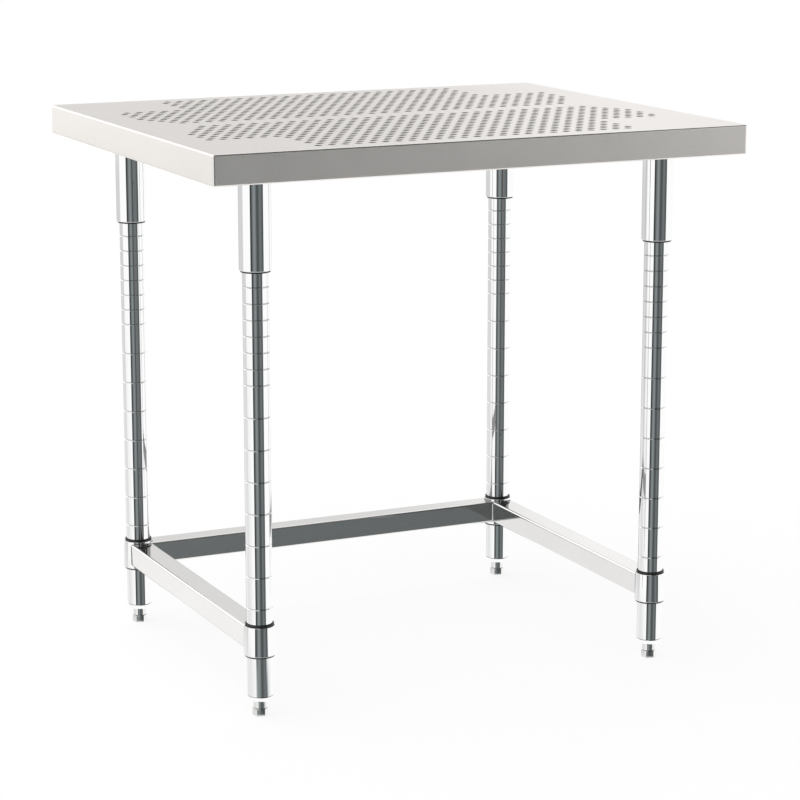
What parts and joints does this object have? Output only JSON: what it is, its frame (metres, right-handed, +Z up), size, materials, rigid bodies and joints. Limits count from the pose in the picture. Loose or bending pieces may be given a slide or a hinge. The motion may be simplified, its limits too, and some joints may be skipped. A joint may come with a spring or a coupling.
{
  "type": "stainless steel work table",
  "caption": "Stainless steel work table with a perforated folded top on grooved round posts, a three-sided lower frame and levelling feet.",
  "frame": {"origin": "on the floor, midway between the four posts, under the centre of the top", "axes": "+X along the width of the table to its right, +Y to its rear, +Z up; the open front faces -Y"},
  "size_m": [0.9144, 0.7556, 0.9017],
  "materials": {
    "satin_steel": "satin",
    "tube_steel": "fine satin",
    "polished_steel": "polished",
    "foot_steel": "turned",
    "black_plastic": "moulded"
  },
  "bodies": {
    "posts": {"front_left_post": "polished_steel", "front_right_post": "polished_steel", "rear_left_post": "polished_steel", "rear_right_post": "polished_steel", "front_left_post_plug": "polished_steel", "front_right_post_plug": "polished_steel", "rear_left_post_plug": "polished_steel", "rear_right_post_plug": "polished_steel", "front_left_foot_insert": "polished_steel", "front_right_foot_insert": "polished_steel", "rear_left_foot_insert": "polished_steel", "rear_right_foot_insert": "polished_steel"},
    "worktop": {"top_pan": "satin_steel", "centre_channel": "satin_steel", "front_left_gusset": "satin_steel", "front_right_gusset": "satin_steel", "rear_left_gusset": "satin_steel", "rear_right_gusset": "satin_steel", "front_left_corner_plate": "satin_steel", "front_right_corner_plate": "satin_steel", "rear_left_corner_plate": "satin_steel", "rear_right_corner_plate": "satin_steel", "front_left_socket": "polished_steel", "front_right_socket": "polished_steel", "rear_left_socket": "polished_steel", "rear_right_socket": "polished_steel", "front_left_upper_sleeve_front_half": "black_plastic", "front_left_upper_sleeve_rear_half": "black_plastic", "front_right_upper_sleeve_front_half": "black_plastic", "front_right_upper_sleeve_rear_half": "black_plastic", "rear_left_upper_sleeve_front_half": "black_plastic", "rear_left_upper_sleeve_rear_half": "black_plastic", "rear_right_upper_sleeve_front_half": "black_plastic", "rear_right_upper_sleeve_rear_half": "black_plastic"},
    "lower_frame": {"left_rail": "tube_steel", "rear_rail": "tube_steel", "right_rail": "tube_steel", "front_left_collar": "polished_steel", "front_right_collar": "polished_steel", "rear_left_collar": "polished_steel", "rear_right_collar": "polished_steel", "front_left_lower_sleeve_front_half": "black_plastic", "front_left_lower_sleeve_rear_half": "black_plastic", "front_right_lower_sleeve_front_half": "black_plastic", "front_right_lower_sleeve_rear_half": "black_plastic", "rear_left_lower_sleeve_front_half": "black_plastic", "rear_left_lower_sleeve_rear_half": "black_plastic", "rear_right_lower_sleeve_front_half": "black_plastic", "rear_right_lower_sleeve_rear_half": "black_plastic"},
    "front_left_foot_screw": {"front_left_foot_stem": "foot_steel"},
    "front_right_foot_screw": {"front_right_foot_stem": "foot_steel"},
    "rear_left_foot_screw": {"rear_left_foot_stem": "foot_steel"},
    "rear_right_foot_screw": {"rear_right_foot_stem": "foot_steel"},
    "front_left_foot_base": {"front_left_foot_pad": "foot_steel"},
    "front_right_foot_base": {"front_right_foot_pad": "foot_steel"},
    "rear_left_foot_base": {"rear_left_foot_pad": "foot_steel"},
    "rear_right_foot_base": {"rear_right_foot_pad": "foot_steel"}
  },
  "joints": [
    {"name": "worktop_height", "type": "slide", "parent": "posts", "child": "worktop", "axis": [0, 0, 1], "range_m": [-0.127, 0]},
    {"name": "lower_frame_height", "type": "slide", "parent": "posts", "child": "lower_frame", "axis": [0, 0, 1], "range_m": [0, 0.3556]},
    {"name": "front_left_foot_height", "type": "slide", "parent": "posts", "child": "front_left_foot_screw", "axis": [0, 0, -1], "range_m": [-0.012, 0.0127]},
    {"name": "front_right_foot_height", "type": "slide", "parent": "posts", "child": "front_right_foot_screw", "axis": [0, 0, -1], "range_m": [-0.012, 0.0127]},
    {"name": "rear_left_foot_height", "type": "slide", "parent": "posts", "child": "rear_left_foot_screw", "axis": [0, 0, -1], "range_m": [-0.012, 0.0127]},
    {"name": "rear_right_foot_height", "type": "slide", "parent": "posts", "child": "rear_right_foot_screw", "axis": [0, 0, -1], "range_m": [-0.012, 0.0127]},
    {"name": "front_left_foot_turn", "type": "hinge", "parent": "front_left_foot_screw", "child": "front_left_foot_base", "pos_m": [-0.35245, -0.2789, 0.0062], "axis": [0, 0, -1], "range_deg": [-2730, 2880]},
    {"name": "front_right_foot_turn", "type": "hinge", "parent": "front_right_foot_screw", "child": "front_right_foot_base", "pos_m": [0.35245, -0.2789, 0.0062], "axis": [0, 0, -1], "range_deg": [-2730, 2880]},
    {"name": "rear_left_foot_turn", "type": "hinge", "parent": "rear_left_foot_screw", "child": "rear_left_foot_base", "pos_m": [-0.35245, 0.2789, 0.0062], "axis": [0, 0, -1], "range_deg": [-2730, 2880]},
    {"name": "rear_right_foot_turn", "type": "hinge", "parent": "rear_right_foot_screw", "child": "rear_right_foot_base", "pos_m": [0.35245, 0.2789, 0.0062], "axis": [0, 0, -1], "range_deg": [-2730, 2880]}
  ],
  "couplings": [
    {"joint": "front_left_foot_turn", "follows": "front_left_foot_height", "rad_per_m": 3957.9},
    {"joint": "front_right_foot_turn", "follows": "front_right_foot_height", "rad_per_m": 3957.9},
    {"joint": "rear_left_foot_turn", "follows": "rear_left_foot_height", "rad_per_m": 3957.9},
    {"joint": "rear_right_foot_turn", "follows": "rear_right_foot_height", "rad_per_m": 3957.9}
  ]
}
